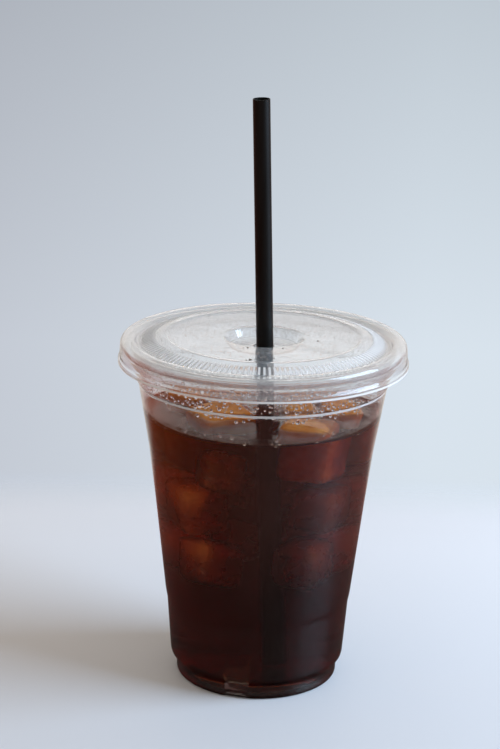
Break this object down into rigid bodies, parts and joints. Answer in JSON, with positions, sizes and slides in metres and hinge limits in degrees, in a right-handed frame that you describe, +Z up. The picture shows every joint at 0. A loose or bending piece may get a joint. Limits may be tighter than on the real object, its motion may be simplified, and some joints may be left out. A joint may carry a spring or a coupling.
{
  "type": "cold brew coffee in a takeaway cup",
  "caption": "Clear takeaway cup of black coffee over ice, with a flat lid pressed on and a straight black straw standing in its middle.",
  "frame": {"origin": "on the surface that the cup stands on, under the middle of its foot", "axes": "+Z up, -Y towards the viewer, +X to that viewer's right"},
  "size_m": [0.102, 0.102, 0.2093],
  "materials": {
    "clear_cup_plastic": "clear, smooth and glossy",
    "clear_lid_plastic": "clear, a little hazy, with droplets under it",
    "black_straw_plastic": "black, satin",
    "coffee": "clear dark brown liquid",
    "ice": "clear ice with rounded, melted edges"
  },
  "bodies": {
    "root": {"cup": "clear_cup_plastic", "lid": "clear_lid_plastic", "straw": "black_straw_plastic", "coffee": "coffee", "ice_01": "ice", "ice_02": "ice", "ice_03": "ice", "ice_04": "ice", "ice_05": "ice", "ice_06": "ice", "ice_07": "ice"}
  },
  "joints": []
}
